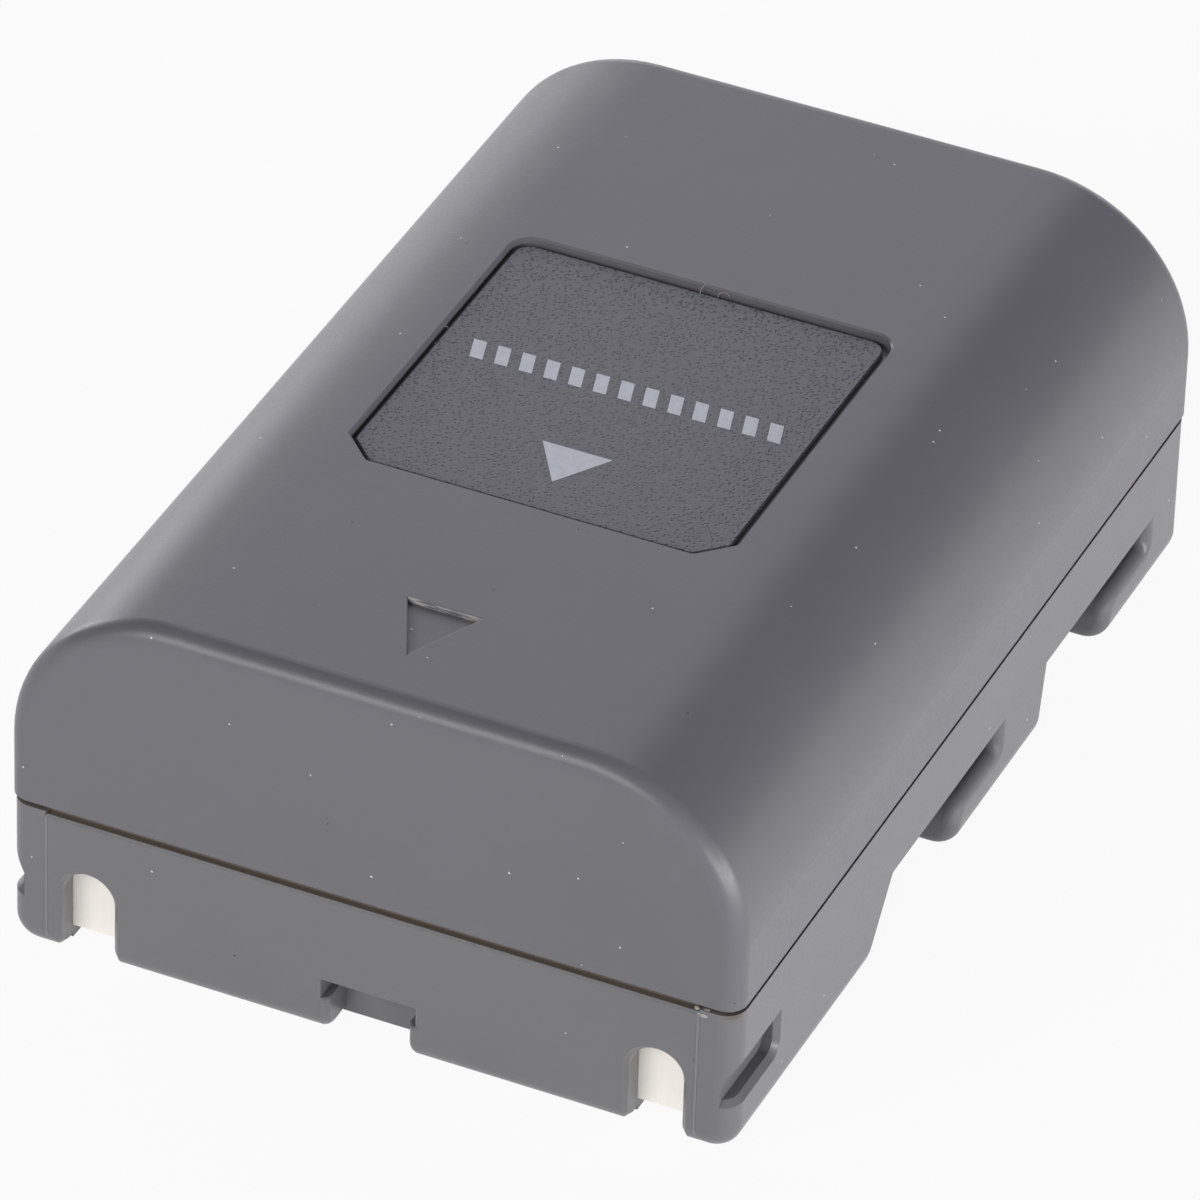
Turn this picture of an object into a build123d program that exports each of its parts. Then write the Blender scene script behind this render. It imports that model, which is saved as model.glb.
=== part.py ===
"""Two-cell lithium-ion camera battery: two welded shells, a label, two contacts and the parts inside.

Millimetres. X is the width, Y the length with the contact end at -Y, Z is up.
The origin is at the middle of the flat underside.
"""
import os
from math import radians, sqrt, tan

from build123d import *

# Cells, side by side along Y
cell_diameter = 18.0
cell_length = 49.2
cell_gap = 0.1
cell_clearance = 0.1
cell_edge = 0.5
bead_from_end = 3.2
bead_width = 1.6
bead_depth = 0.5
bead_angle = 60.0
cap_diameter = 8.4
cap_height = 0.35

# Shell walls
floor_wall = 1.05
top_wall = 1.35
side_wall = 0.8
front_wall = 1.45
back_wall = 1.2

# Stack of thin parts behind and in front of the cells
fit = 0.05
nickel_thickness = 0.15
paper_thickness = 0.2
ring_thickness = 0.2
ring_margin = 0.6
ring_hole_margin = 0.5

# Circuit board behind the front wall
contact_thickness = 0.35
board_thickness = 0.8
parts_space = 1.45
board_above_axis = 5.8
board_fit = 0.15
board_corner = 0.8

# Outer form of the shells
seam_below_axis = 1.75
seam_gap = 0.2
front_seam_gap = 0.41
crown_flattening = 0.5
cover_end_radius = 1.0
base_inset = 0.05
base_side_radius = 1.4
base_end_radius = 1.1
rim_chamfer = 0.12

# Lap joint between the shells
rim_lip = 0.45
lap_clearance = 0.05
lap_height = 0.9

# Label recess in the flat of the cover
label_margin = 0.23
label_length = 20.74
label_centre = -0.3
label_chamfer = 1.6
label_cut_radius = 0.35
label_corner_radius = 1.2
recess_depth = 0.6
recess_edge = 0.1
label_thickness = 0.3
label_edge = 0.08
label_clearance = 0.3
label_shift = -0.1

# Engraved arrow on the cover, pointing to the contact end
arrow_width = 3.85
arrow_base_from_front = 7.8
arrow_length = 4.1
arrow_depth = 0.33
arrow_edge = 0.06

# Contact windows and plates in the front of the base
window_from_side = 4.15
window_width = 2.82
window_height = 4.95
window_edge = 0.25
window_relief = 1.2
contact_overlap = 0.4
contact_bottom = 0.7
contact_top_above_sill = 4.0
contact_corner = 0.3

# Keying notch in the middle of the front of the base
key_width = 4.95
key_mouth_width = 4.18
key_height = 3.12
key_lip_height = 2.03
key_depth = 2.2
key_edge = 0.1
key_lip_corner = 0.25
sill_height = 4.0

# Pocket in each side of the base at the front corner
pocket_length = 5.0
pocket_bottom = 3.05
pocket_top = 5.27
pocket_roof = 4.1
pocket_depth = 0.8
pocket_radius = 0.6
pocket_edge = 0.3

# Latch notches and rails in each side of the base
latch_pitch = 19.0
latch_end_from_back = 4.65
latch_slot_length = 5.25
latch_notch_length = 8.0
latch_top = 4.3
rail_top = 2.7
rail_edge_radius = 0.7
rail_nose_radius = 1.2
latch_depth_top = 1.6
latch_depth_bottom = 2.6
latch_ramp_front = 38.0
latch_ramp_back = 12.0
latch_corner = 0.4

# Raised witness line that the mould slide leaves on the front of the base
witness_from_side = 2.05
witness_width = 0.1
witness_height = 0.03

# Tabs, strap and wire
tab_width = 4.0
tab_weld_length = 5.0
tab_above_axis = 1.4
tab_solder_length = 2.2
strap_height = 6.0
strap_overhang = 3.0
strap_corner = 0.6
tab_window_diameter = 9.0
wire_diameter = 1.2

# Parts soldered to the back of the board
chip_size = (3.0, 1.0, 3.0)
transistor_size = (4.4, 1.0, 3.0)
resistor_size = (1.6, 0.5, 0.8)
capacitor_size = (1.6, 0.8, 0.8)
chip_centre = (-3.2, -2.6)
transistor_centre = (3.4, -2.6)
resistor_centres = ((-1.0, 0.0), (1.4, 0.0), (6.8, -3.2))
capacitor_centres = ((-3.6, 0.2), (4.0, 0.2))

# Places worked out from the sizes above
cell_radius = cell_diameter / 2
cell_x = (cell_diameter + cell_gap) / 2
trough_radius = cell_radius + cell_clearance
axis_z = floor_wall + trough_radius
pack_height = axis_z + trough_radius + top_wall
pack_width = 2 * (cell_x + trough_radius + side_wall)
seam_z = axis_z - seam_below_axis
base_top = seam_z - seam_gap
ledge_top = seam_z - front_seam_gap
crown_radius = trough_radius - crown_flattening

end_stack = nickel_thickness + paper_thickness + 2 * fit
board_stack = fit + contact_thickness + board_thickness
bay_length = board_stack + parts_space
pack_length = front_wall + bay_length + end_stack + cell_length + end_stack + back_wall
front_y = -pack_length / 2
back_y = pack_length / 2
bay_front = front_y + front_wall
contact_front = bay_front + fit
board_front = contact_front + contact_thickness
board_back = board_front + board_thickness
trough_front = bay_front + bay_length
cell_front = trough_front + end_stack
cell_back = cell_front + cell_length
cavity_back = back_y - back_wall
bay_top = axis_z + board_above_axis

base_width = pack_width - 2 * base_inset
base_length = pack_length - 2 * base_inset
base_side = base_width / 2
base_front = -base_length / 2
tongue_inset = rim_lip + lap_clearance
window_x = pack_width / 2 - window_from_side
contact_width = window_width + 2 * contact_overlap
bay_width = 2 * (window_x + board_fit) + contact_width
witness_x = pack_width / 2 - witness_from_side

LEFT = -1
RIGHT = 1


def section_at(y):
    """Cross-section plane of the pack at y: local x is X, local y is Z, and it faces the contact end."""
    return Plane.XZ.offset(-y)


def label_outline(sketch, x, clearance):
    """Draws the label shape with its middle at x: front corners cut off, back corners rounded."""
    width = pack_width - 2 * (crown_radius + label_margin + clearance)
    length = label_length - 2 * clearance
    with Locations((x, label_centre)):
        Rectangle(width, length)
    even_chamfer = label_chamfer - (2 - sqrt(2)) * clearance
    chamfer(sketch.vertices().group_by(Axis.Y)[0], even_chamfer)
    fillet(sketch.vertices().group_by(Axis.Y)[-1], label_corner_radius - clearance)
    fillet(sketch.vertices().group_by(Axis.Y)[0], label_cut_radius)


def finish(piece, name):
    """Names a finished piece and writes it to its own file."""
    piece.part.label = name
    export_step(piece.part, f"parts/{name}.step")


os.makedirs("parts", exist_ok=True)

# Upper shell: a crowned section along the whole length
with BuildPart() as top_cover:
    with BuildSketch(Plane.XZ) as crown:
        with Locations((0, (seam_z + pack_height) / 2)):
            Rectangle(pack_width, pack_height - seam_z)
        fillet(crown.vertices().group_by(Axis.Y)[-1], crown_radius)
    extrude(amount=pack_length / 2, both=True)
    ends = top_cover.faces().filter_by(Axis.Y)
    end_edges = ends.edges().filter_by(lambda edge: edge.center().Z > seam_z + cover_end_radius)
    fillet(end_edges, cover_end_radius)
    chamfer(top_cover.faces().sort_by(Axis.Z)[0].edges(), rim_chamfer)
    with BuildSketch(section_at(cavity_back)):
        with Locations((0, axis_z)):
            SlotCenterToCenter(2 * cell_x, 2 * trough_radius)
    extrude(amount=cavity_back - trough_front, mode=Mode.SUBTRACT)
    with BuildSketch(section_at(trough_front)):
        with Locations((0, (sill_height + bay_top) / 2)):
            Rectangle(bay_width, bay_top - sill_height)
    extrude(amount=bay_length, mode=Mode.SUBTRACT)
    with BuildSketch(Plane.XY.offset(seam_z)):
        RectangleRounded(pack_width - 2 * rim_lip, pack_length - 2 * rim_lip, cover_end_radius)
    extrude(amount=lap_height - seam_gap + lap_clearance, mode=Mode.SUBTRACT)
    with BuildSketch(Plane.XY.offset(pack_height)) as recess:
        label_outline(recess, 0, 0)
    extrude(amount=-recess_depth, mode=Mode.SUBTRACT)
    recess_rim = top_cover.faces().sort_by(Axis.Z)[-1].inner_wires()
    chamfer(recess_rim.edges(), recess_edge)
    with BuildSketch(Plane.XY.offset(pack_height)):
        with BuildLine():
            Polyline(
                (-arrow_width / 2, front_y + arrow_base_from_front),
                (arrow_width / 2, front_y + arrow_base_from_front),
                (0, front_y + arrow_base_from_front - arrow_length),
                close=True,
            )
        make_face()
    extrude(amount=-arrow_depth, mode=Mode.SUBTRACT)
    arrow_rim = top_cover.faces().sort_by(Axis.Z)[-1].inner_wires().sort_by(Axis.Y)[0]
    chamfer(arrow_rim.edges(), arrow_edge)
finish(top_cover, "top_cover")

# Label lying on the floor of the recess
with BuildPart() as label_plate:
    with BuildSketch(Plane.XY.offset(pack_height - recess_depth)) as label_shape:
        label_outline(label_shape, label_shift, label_clearance)
    extrude(amount=label_thickness)
    chamfer(label_plate.faces().sort_by(Axis.Z)[-1].edges(), label_edge)
finish(label_plate, "label_plate")

# Space of one side's latches: a ramped notch that leads into a slot over each rail
latch_ends = {back_y - latch_end_from_back - latch_pitch: latch_ramp_front,
              back_y - latch_end_from_back: latch_ramp_back}
with BuildPart() as latch_space:
    for slot_end, ramp in latch_ends.items():
        tip = slot_end - latch_slot_length
        start = tip - latch_notch_length
        run_out = latch_top + base_side_radius
        with BuildSketch(Plane.YZ) as side_view:
            with BuildLine():
                Polyline(
                    (start - run_out * tan(radians(ramp)), latch_top - run_out),
                    (start, latch_top),
                    (slot_end, latch_top),
                    (slot_end, rail_top),
                    (tip, rail_top),
                    (tip, latch_top - run_out),
                    close=True,
                )
            make_face()
            for end, radius in ((0, rail_nose_radius), (-1, latch_corner)):
                rail_line = side_view.vertices().filter_by_position(Axis.Y, rail_top - fit, rail_top + fit)
                fillet(rail_line.sort_by(Axis.X)[end], radius)
        extrude(amount=pack_width)
    with BuildSketch(Plane.XZ):
        with BuildLine():
            Polyline(
                (base_side - latch_depth_top, latch_top),
                (base_side - latch_depth_bottom, 0),
                (base_side - latch_depth_bottom, -latch_top),
                (pack_width, -latch_top),
                (pack_width, latch_top),
                close=True,
            )
        make_face()
    extrude(amount=pack_length, both=True, mode=Mode.INTERSECT)

# Space of one front corner pocket, with a roof that slopes down to its back wall
with BuildPart() as pocket_space:
    with BuildSketch(Plane.YZ) as side_view:
        with Locations((front_y, (pocket_bottom + pocket_top) / 2)):
            Rectangle(pocket_length, pocket_top - pocket_bottom, align=(Align.MIN, Align.CENTER))
        fillet(side_view.vertices().group_by(Axis.X)[-1].sort_by(Axis.Y)[0], pocket_radius)
    extrude(amount=pack_width)
    with BuildSketch(Plane.XZ):
        with BuildLine():
            Polyline(
                (base_side - pocket_depth, pocket_bottom),
                (base_side - pocket_depth, pocket_roof),
                (base_side, pocket_top),
                (pack_width, pocket_top),
                (pack_width, pocket_bottom),
                close=True,
            )
        make_face()
    extrude(amount=pack_length, both=True, mode=Mode.INTERSECT)

# Lower shell: a tub with latch rails, pockets, contact windows and a keying notch
with BuildPart() as base_tray:
    with BuildSketch(Plane.XZ) as tub:
        with Locations((0, base_top / 2)):
            Rectangle(base_width, base_top)
        fillet(tub.vertices().group_by(Axis.Y)[0], base_side_radius)
    extrude(amount=base_length / 2, both=True)
    ends = base_tray.faces().filter_by(Axis.Y)
    end_edges = ends.edges().filter_by(lambda edge: edge.center().Z < base_top - base_end_radius)
    fillet(end_edges, base_end_radius)
    # Tongue that stands inside the rim of the cover
    with BuildSketch(Plane.XY.offset(base_top)):
        RectangleRounded(pack_width - 2 * tongue_inset, pack_length - 2 * tongue_inset, cover_end_radius)
    extrude(amount=lap_height)
    # The front edge is cut lower, which leaves the wide seam seen at the contact end
    with BuildSketch(Plane.XY.offset(base_top)):
        with Locations((0, front_y + tongue_inset)):
            Rectangle(2 * witness_x + witness_width, tongue_inset, align=(Align.CENTER, Align.MAX))
    extrude(amount=ledge_top - base_top, mode=Mode.SUBTRACT)
    ledge_edge = (
        base_tray.edges()
        .filter_by(Axis.X)
        .filter_by_position(Axis.Y, base_front - fit, base_front + fit)
        .filter_by_position(Axis.Z, ledge_top - fit, ledge_top + fit)
    )
    chamfer(ledge_edge, rim_chamfer)
    # Trough for the cells and bay for the board
    with BuildSketch(section_at(cavity_back)):
        with Locations((0, axis_z)):
            SlotCenterToCenter(2 * cell_x, 2 * trough_radius)
    extrude(amount=cavity_back - trough_front, mode=Mode.SUBTRACT)
    with BuildSketch(section_at(trough_front)):
        with Locations((0, (sill_height + bay_top) / 2)):
            Rectangle(bay_width, bay_top - sill_height)
    extrude(amount=bay_length, mode=Mode.SUBTRACT)
    # Latches
    add(latch_space.part, mode=Mode.SUBTRACT)
    add(mirror(latch_space.part, about=Plane.YZ, mode=Mode.PRIVATE), mode=Mode.SUBTRACT)
    rail_edges = (
        base_tray.edges()
        .filter_by(Axis.Y)
        .filter_by_position(Axis.Z, rail_top - fit, rail_top + fit)
        .filter_by(lambda edge: abs(edge.center().X) > base_side - fit)
    )
    fillet(rail_edges, rail_edge_radius)
    # Pocket at each front corner
    add(pocket_space.part, mode=Mode.SUBTRACT)
    add(mirror(pocket_space.part, about=Plane.YZ, mode=Mode.PRIVATE), mode=Mode.SUBTRACT)
    pocket_edges = (
        base_tray.edges()
        .filter_by(Axis.Y)
        .filter_by_position(Axis.Z, pocket_bottom - fit, pocket_bottom + fit)
        .filter_by(lambda edge: abs(edge.center().X) > base_side - fit)
    )
    chamfer(pocket_edges, pocket_edge)
    # Contact windows, open to the front and below
    with BuildSketch(section_at(contact_front)):
        with Locations((-window_x, 0), (window_x, 0)):
            Rectangle(window_width, window_height - window_width / 2, align=(Align.CENTER, Align.MIN))
            with Locations((0, window_height - window_width / 2)):
                Circle(window_width / 2)
    extrude(amount=contact_front - front_y, mode=Mode.SUBTRACT)
    window_edges = (
        base_tray.edges()
        .filter_by_position(Axis.Y, base_front - fit, base_front + base_end_radius)
        .filter_by(lambda edge: abs(abs(edge.center().X) - window_x) < window_width / 2 + fit)
    )
    chamfer(window_edges - window_edges.filter_by(Axis.Y), window_edge)
    # Pockets that hold the contact plates behind the windows
    with BuildSketch(section_at(board_front)):
        with Locations((-window_x, contact_bottom - fit), (window_x, contact_bottom - fit)):
            Rectangle(
                contact_width + 2 * fit,
                sill_height - contact_bottom + 2 * fit,
                align=(Align.CENTER, Align.MIN),
            )
    extrude(amount=board_front - bay_front, mode=Mode.SUBTRACT)
    # The windows run on below the plates, open underneath
    with BuildSketch(section_at(contact_front + window_relief)):
        with Locations((-window_x, 0), (window_x, 0)):
            Rectangle(window_width, contact_bottom - fit, align=(Align.CENTER, Align.MIN))
    extrude(amount=window_relief, mode=Mode.SUBTRACT)
    # Keying notch with a narrow mouth
    with BuildSketch(section_at(front_y + key_depth)):
        Rectangle(key_mouth_width, key_height, align=(Align.CENTER, Align.MIN))
        with Locations((0, key_lip_height)):
            Rectangle(key_width, key_height - key_lip_height, align=(Align.CENTER, Align.MIN))
    extrude(amount=key_depth, mode=Mode.SUBTRACT)
    lip_corners = (
        base_tray.edges()
        .filter_by(Axis.Y)
        .filter_by_position(Axis.Z, -fit, fit)
        .filter_by(lambda edge: abs(abs(edge.center().X) - key_mouth_width / 2) < fit)
    )
    chamfer(lip_corners, key_lip_corner)
    key_edges = (
        base_tray.edges()
        .filter_by_position(Axis.Y, base_front - fit, base_front + base_end_radius)
        .filter_by_position(Axis.Z, 0, key_height + fit)
        .filter_by(lambda edge: abs(edge.center().X) < key_width / 2 + fit)
    )
    chamfer(key_edges - key_edges.filter_by(Axis.Y), key_edge)
    # Witness lines
    with BuildSketch(section_at(base_front)):
        with Locations((-witness_x, base_end_radius), (witness_x, base_end_radius)):
            Rectangle(
                witness_width,
                ledge_top - rim_chamfer - base_end_radius,
                align=(Align.CENTER, Align.MIN),
            )
    extrude(amount=witness_height)
finish(base_tray, "base_tray")

# Cells, the left one with its positive end at the front and the right one at the back
for name, side in (("left", LEFT), ("right", RIGHT)):
    positive_end = cell_front if side == LEFT else cell_back
    inward = 1 if side == LEFT else -1
    shoulder = positive_end + inward * cap_height
    negative_end = positive_end + inward * cell_length
    bead = positive_end + inward * bead_from_end
    axis = Axis((side * cell_x, 0, axis_z), (0, 1, 0))
    with BuildPart() as cell:
        with BuildSketch(Plane.XY.offset(axis_z)) as half_section:
            with BuildLine():
                Polyline(
                    (side * cell_x, negative_end),
                    (side * cell_x + cell_radius, negative_end),
                    (side * cell_x + cell_radius, shoulder),
                    (side * cell_x + cap_diameter / 2, shoulder),
                    (side * cell_x + cap_diameter / 2, positive_end),
                    (side * cell_x, positive_end),
                    close=True,
                )
            make_face()
            rim = half_section.vertices().group_by(Axis.X)[-1]
            chamfer(rim, cell_edge)
            with Locations((side * cell_x + cell_radius - bead_depth / 2, bead)):
                Trapezoid(bead_width, bead_depth, bead_angle, rotation=90, mode=Mode.SUBTRACT)
        revolve(axis=axis)
    finish(cell, f"cell_{name}")

    with BuildPart() as ring:
        with BuildSketch(section_at(max(shoulder, shoulder - inward * ring_thickness))):
            with Locations((side * cell_x, axis_z)):
                Circle(cell_radius - ring_margin)
                Circle(cap_diameter / 2 + ring_hole_margin, mode=Mode.SUBTRACT)
        extrude(amount=ring_thickness)
    finish(ring, f"positive_ring_{name}")

# Nickel strap across the back ends of both cells
with BuildPart() as series_strap:
    with BuildSketch(section_at(cell_back + nickel_thickness)):
        with Locations((0, axis_z)):
            RectangleRounded(2 * (cell_x + strap_overhang), strap_height, strap_corner)
    extrude(amount=nickel_thickness)
finish(series_strap, "series_strap")

# Nickel tabs, bent from the front end of each cell up to the back of the board
for name, side in (("positive", LEFT), ("negative", RIGHT)):
    bend_z = axis_z + tab_above_axis
    with BuildPart() as tab:
        with BuildSketch(Plane.YZ.offset(side * cell_x)):
            with BuildLine():
                Polyline(
                    (cell_front, bend_z - tab_weld_length),
                    (cell_front, bend_z),
                    (board_back + nickel_thickness, bend_z),
                    (board_back + nickel_thickness, bend_z + tab_solder_length),
                    (board_back, bend_z + tab_solder_length),
                    (board_back, bend_z - nickel_thickness),
                    (cell_front - nickel_thickness, bend_z - nickel_thickness),
                    (cell_front - nickel_thickness, bend_z - tab_weld_length),
                    close=True,
                )
            make_face()
        extrude(amount=tab_width / 2, both=True)
    finish(tab, f"{name}_tab")

# Insulated wire from the strap to the board, lying in the valley between the cells
wire_above_axis = sqrt((cell_radius + wire_diameter / 2 + fit) ** 2 - cell_x**2)
with BuildPart() as midpoint_wire:
    with BuildSketch(section_at(cell_back)):
        with Locations((0, axis_z + wire_above_axis)):
            Circle(wire_diameter / 2)
    extrude(amount=cell_back - board_back)
finish(midpoint_wire, "midpoint_wire")

# Insulating paper at both ends of the cells
with BuildPart() as front_insulator:
    with BuildSketch(section_at(cell_front - nickel_thickness - fit)):
        with Locations((0, axis_z)):
            SlotCenterToCenter(2 * cell_x, 2 * cell_radius)
        with Locations((-cell_x, axis_z), (cell_x, axis_z)):
            Circle(tab_window_diameter / 2, mode=Mode.SUBTRACT)
        with Locations((0, axis_z + wire_above_axis)):
            Circle(wire_diameter / 2 + cell_clearance, mode=Mode.SUBTRACT)
    extrude(amount=paper_thickness)
finish(front_insulator, "front_insulator")

with BuildPart() as back_insulator:
    with BuildSketch(section_at(cavity_back - fit)):
        with Locations((0, axis_z)):
            SlotCenterToCenter(2 * cell_x, 2 * cell_radius)
    extrude(amount=paper_thickness)
finish(back_insulator, "back_insulator")

# Circuit board standing on the sill
board_width = bay_width - 2 * board_fit
board_bottom = sill_height + fit
board_height = bay_top - board_fit - board_bottom
with BuildPart() as protection_board:
    with BuildSketch(section_at(board_back)):
        with Locations((0, board_bottom)):
            RectangleRounded(board_width, board_height, board_corner, align=(Align.CENTER, Align.MIN))
    extrude(amount=board_thickness)
finish(protection_board, "protection_board")


def solder_on_board(name, size, centres):
    """Rectangular parts that stand on the back face of the board at centres given from the cell axis."""
    width, depth, height = size
    with BuildPart() as piece:
        with Locations(*[(x, board_back, axis_z + z) for x, z in centres]):
            Box(width, depth, height, align=(Align.CENTER, Align.MIN, Align.CENTER))
    finish(piece, name)


solder_on_board("protection_chip", chip_size, (chip_centre,))
solder_on_board("switch_transistor", transistor_size, (transistor_centre,))
solder_on_board("board_resistors", resistor_size, resistor_centres)
solder_on_board("board_capacitors", capacitor_size, capacitor_centres)

# Contact plates on the front of the board, reaching down into the windows
for name, side in (("left", LEFT), ("right", RIGHT)):
    with BuildPart() as contact:
        with BuildSketch(section_at(board_front)) as blade:
            with Locations((side * window_x, contact_bottom)):
                Rectangle(
                    contact_width,
                    sill_height - contact_bottom + contact_top_above_sill,
                    align=(Align.CENTER, Align.MIN),
                )
            fillet(blade.vertices(), contact_corner)
        extrude(amount=contact_thickness)
    finish(contact, f"contact_plate_{name}")
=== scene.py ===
"""Camera battery: its finishes, the print on its label, the traces of making and use, and the studio."""
import math

import bpy
from bpy.props import FloatProperty, FloatVectorProperty, IntProperty, PointerProperty
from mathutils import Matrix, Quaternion, Vector


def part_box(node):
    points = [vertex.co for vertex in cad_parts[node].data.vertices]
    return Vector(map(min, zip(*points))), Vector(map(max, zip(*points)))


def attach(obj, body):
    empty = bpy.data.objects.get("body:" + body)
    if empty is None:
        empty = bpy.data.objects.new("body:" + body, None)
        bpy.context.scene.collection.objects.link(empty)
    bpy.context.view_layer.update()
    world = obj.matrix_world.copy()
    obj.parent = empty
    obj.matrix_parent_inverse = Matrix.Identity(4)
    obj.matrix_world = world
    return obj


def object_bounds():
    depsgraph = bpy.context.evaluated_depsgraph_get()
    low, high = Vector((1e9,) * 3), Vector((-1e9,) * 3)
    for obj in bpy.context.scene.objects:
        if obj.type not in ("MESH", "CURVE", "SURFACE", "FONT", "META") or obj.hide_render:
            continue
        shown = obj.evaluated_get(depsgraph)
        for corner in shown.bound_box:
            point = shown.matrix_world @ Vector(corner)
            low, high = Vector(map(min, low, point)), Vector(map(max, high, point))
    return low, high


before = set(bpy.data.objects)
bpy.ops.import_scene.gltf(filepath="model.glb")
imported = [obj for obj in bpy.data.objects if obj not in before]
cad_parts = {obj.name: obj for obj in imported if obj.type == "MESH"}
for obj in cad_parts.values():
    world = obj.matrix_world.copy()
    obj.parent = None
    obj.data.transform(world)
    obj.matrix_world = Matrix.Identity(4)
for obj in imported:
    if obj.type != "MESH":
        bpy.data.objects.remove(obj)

bl_info = {
    "name": "Camera battery",
    "version": (1, 0, 0),
    "blender": (4, 5, 0),
    "location": "View3D > Sidebar > Battery",
    "description": "Finishes a two-cell camera battery and sets it in a small studio",
    "category": "Object",
}

MM = 0.001
BODY = "root"
WHITE = (1.0, 1.0, 1.0, 1.0)

# Nearly all values of a noise pattern lie between these two
NOISE_LOW = 0.3
NOISE_HIGH = 0.7

# How far the roughness swings to either side of its mean, over the plastic's grain and the metal's streaks
GRAIN_SWING = 0.04
STREAK_SWING = 0.06

# Scale of a drawn-out pattern along its streaks, as a share of the scale across them
CUTTER_STRETCH = 0.12
STREAK_STRETCH = 0.06

# Steps of the cutter down the back wall of the engraved arrow
ARROW_STEPS = 3

# Height of the film's pebbles as a share of its pits' depth, and the share of that depth left in the ink
PEBBLE_SHARE = 0.5
INK_SHARE = 0.25

# Weld flash: how uneven a lump is, in widths of the largest one, and how finely it is smoothed
FLASH_UNEVENNESS = 0.12
FLASH_LEVELS = 2

# Lint: points on the ring that a fibre is cut from, and how far under its middle it ends, in radii
LINT_POINTS = 24
LINT_END = 0.3

# Distance of the soft boxes in metres, and width of the camera's sensor in millimetres
LAMP_DISTANCE = 0.6
SENSOR_WIDTH = 36.0

# Places read from the frame
CAD_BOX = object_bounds()
BASE_LOW, BASE_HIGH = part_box("base_tray")
COVER_LOW, COVER_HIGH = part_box("top_cover")
LABEL_LOW, LABEL_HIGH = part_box("label_plate")
FRONT = CAD_BOX[0].y
MIDDLE = (CAD_BOX[0] + CAD_BOX[1]) / 2

# Soft boxes: name, azimuth and elevation in degrees, width and height in metres, watts, colour
LAMPS = (
    ("key_box", -15.0, 28.0, 0.56, 0.26, 2.08, "#FFFFFF"),
    ("right_strip", 80.0, 4.2, 0.9, 0.085, 3.4, "#FFFFFF"),
    ("back_box", 180.0, 9.7, 0.26, 0.22, 0.3, "#F5F4FF"),
    ("left_box", -120.0, 9.7, 0.26, 0.22, 0.8, "#FFFFFF"),
    ("back_left_box", -150.0, 9.7, 0.26, 0.22, 0.3, "#FFFFFF"),
    ("high_back_box", -160.0, 42.0, 0.4, 0.5, 0.93, "#F5F4FF"),
)

# Metal pieces: name of the finish, colour, width of a streak in millimetres, roughness, pieces.
# Real streaks are about 0.02 mm wide: they are drawn coarser here so that they show.
METAL_FINISHES = (
    # Dull nickel plating on a stamped plate: bright and even, with no clear image in it
    ("plated_contact", "#FFFCF7", 0.08, 0.75, ("contact_plate_left", "contact_plate_right")),
    # Bare rolled strip: a soft shine with streaks along the strip
    ("nickel_strip", "#D2CEC8", 0.1, 0.3, ("series_strap", "positive_tab", "negative_tab")),
)

# Sealed pieces: name of the finish, colour, grain width and height in millimetres, roughness, pieces
INSIDE_FINISHES = (
    # Heat-shrunk sleeve: smooth and glossy, with a slight ripple
    ("shrunk_sleeve", "#3E7FB5", 0.8, 0.004, 0.3, ("cell_left", "cell_right")),
    # Pressed paper: dull and fibrous
    ("pressed_paper", "#D9D6CC", 0.12, 0.02, 0.85, (
        "positive_ring_left", "positive_ring_right", "front_insulator", "back_insulator")),
    # Extruded insulation: smooth, with a soft shine along the wire
    ("wire_insulation", "#B32A2A", 0.3, 0.004, 0.35, ("midpoint_wire",)),
    # Solder mask on glass cloth: a glossy green with a faint weave under it
    ("solder_mask", "#2F6B3F", 0.4, 0.006, 0.3, ("protection_board",)),
    # Moulded resin: black and dull
    ("moulded_resin", "#262628", 0.08, 0.004, 0.6, (
        "protection_chip", "switch_transistor", "board_resistors")),
    # Fired ceramic: a dry, even tan
    ("fired_ceramic", "#B59A78", 0.1, 0.004, 0.5, ("board_capacitors",)),
)


def linear(code):
    """Turns an sRGB hex colour into linear red, green, blue and alpha."""
    shares = [int(code[place:place + 2], 16) / 255 for place in (1, 3, 5)]
    return (*[s / 12.92 if s <= 0.04045 else ((s + 0.055) / 1.055) ** 2.4 for s in shares], 1.0)


def length(name, description, millimetres):
    """A length that a user can change, given in millimetres and kept in metres."""
    return FloatProperty(
        name=name, description=description, default=millimetres * MM, unit="LENGTH", subtype="DISTANCE"
    )


def colour(name, description, code):
    """A colour that a user can change, given as an sRGB hex code."""
    return FloatVectorProperty(
        name=name, description=description, default=linear(code), size=4, min=0.0, max=1.0, subtype="COLOR"
    )


def share(name, description, default):
    """A share of one, or a strength from nought to one, that a user can change."""
    return FloatProperty(
        name=name, description=description, default=default, min=0.0, max=1.0, subtype="FACTOR"
    )


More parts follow.
